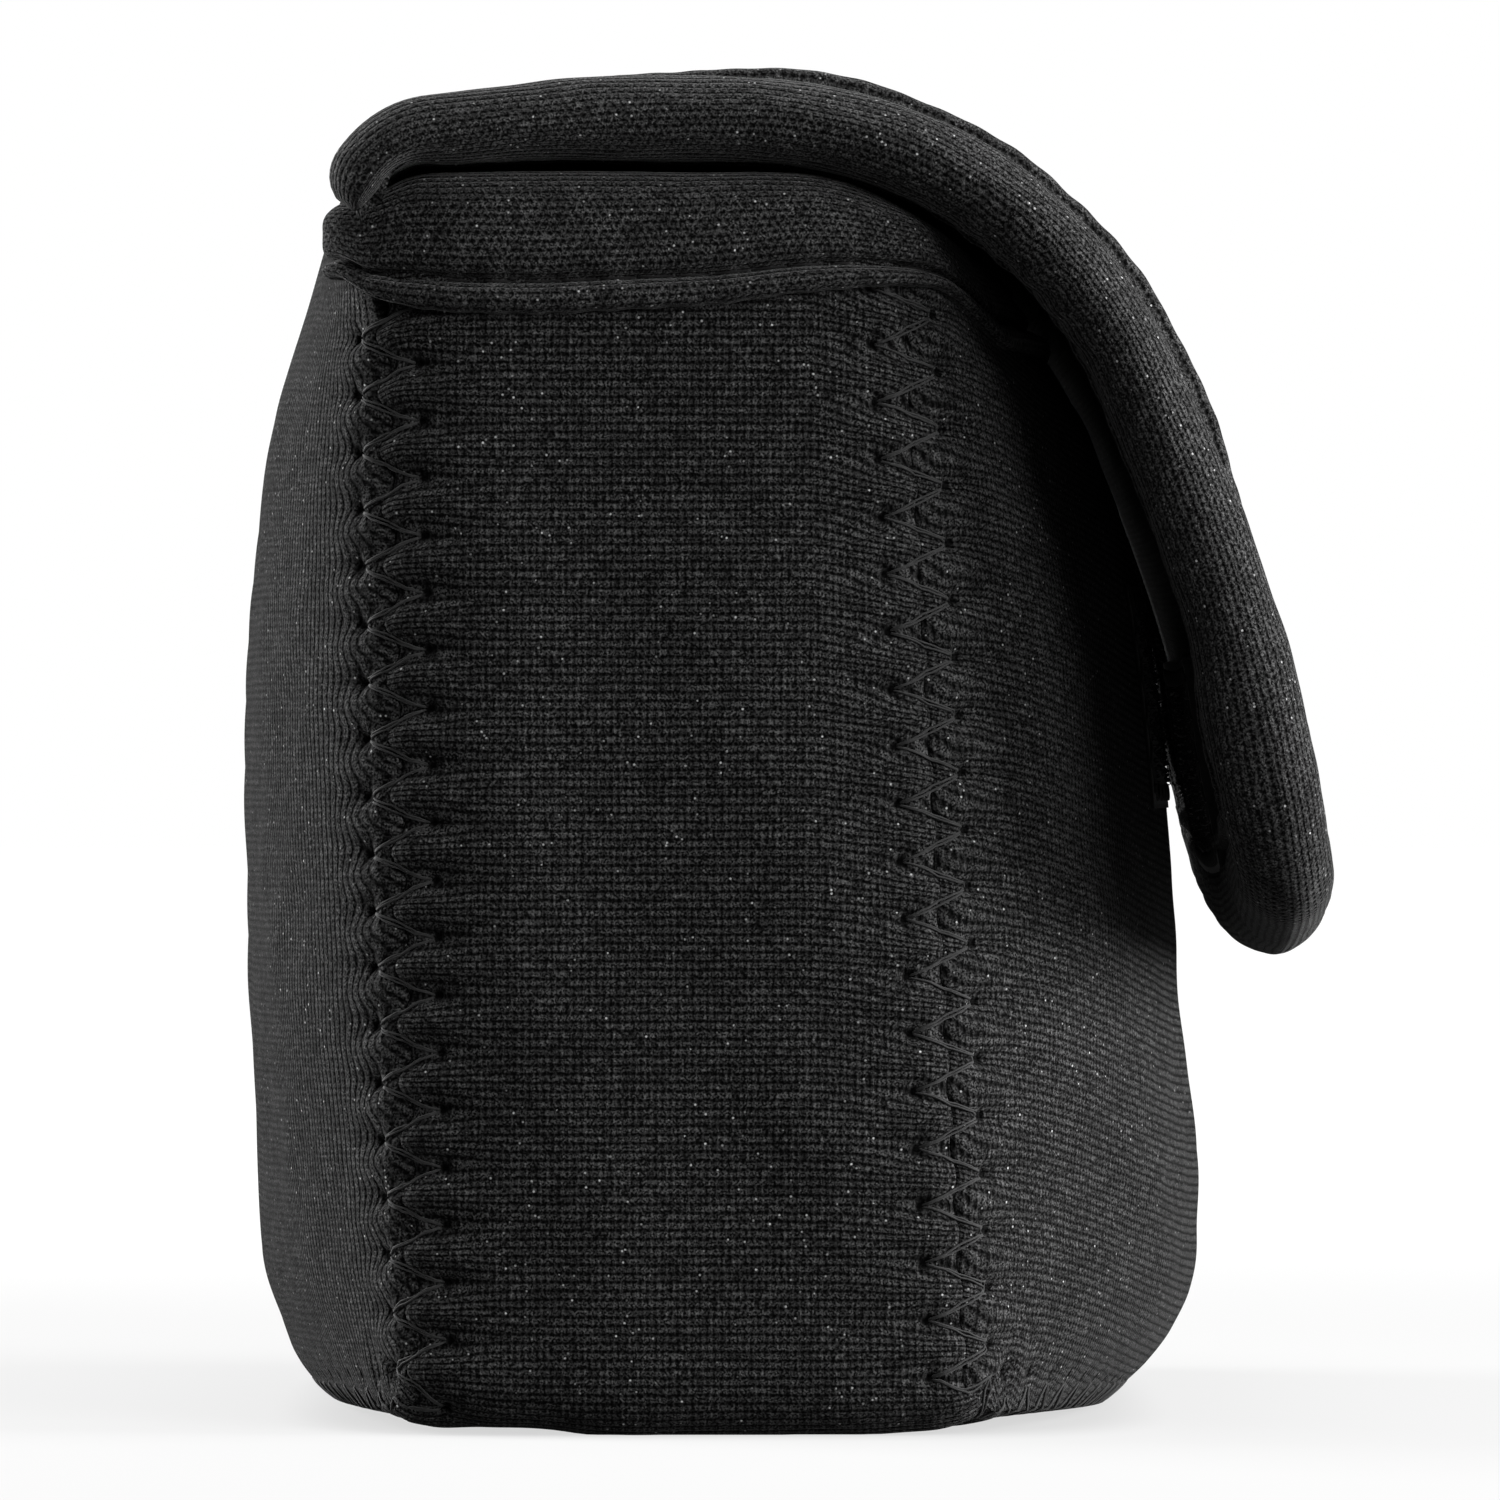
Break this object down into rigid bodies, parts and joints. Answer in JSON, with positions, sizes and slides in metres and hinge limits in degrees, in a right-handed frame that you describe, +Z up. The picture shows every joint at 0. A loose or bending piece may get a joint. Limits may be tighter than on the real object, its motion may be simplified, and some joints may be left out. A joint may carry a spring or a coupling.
{
  "type": "neoprene camera case",
  "caption": "Soft padded pouch for a small camera, with a bound mouth and a fold-over flap that closes on a hook and loop patch.",
  "frame": {"origin": "middle of the flat underside that the case stands on", "axes": "+Z up, -Y towards the front, where the flap hangs down, +X along the width"},
  "size_m": [0.12, 0.0772, 0.0948],
  "materials": {
    "jersey": "black knitted jersey laminated on neoprene foam",
    "binding_tape": "black stretch knitted binding tape",
    "hook_fabric": "woven tape with small plastic hooks",
    "loop_fabric": "brushed loop pile"
  },
  "bodies": {
    "pouch": {"gusset": "jersey", "front_panel": "jersey", "back_panel": "jersey", "rim_binding": "binding_tape", "loop_patch": "loop_fabric"},
    "flap_crown": {"flap_crown": "jersey", "crown_binding_left": "binding_tape", "crown_binding_right": "binding_tape"},
    "flap_tip": {"flap_tip": "jersey", "tip_binding": "binding_tape", "hook_patch": "hook_fabric"}
  },
  "joints": [
    {"name": "flap_hinge", "type": "hinge", "parent": "pouch", "child": "flap_crown", "pos_m": [0, 0.0248, 0.0876], "axis": [-1, 0, 0], "range_deg": [0, 150]},
    {"name": "flap_bend", "type": "hinge", "parent": "flap_crown", "child": "flap_tip", "pos_m": [0, -0.01771, 0.08627], "axis": [-1, 0, 0], "range_deg": [0, 60]}
  ]
}
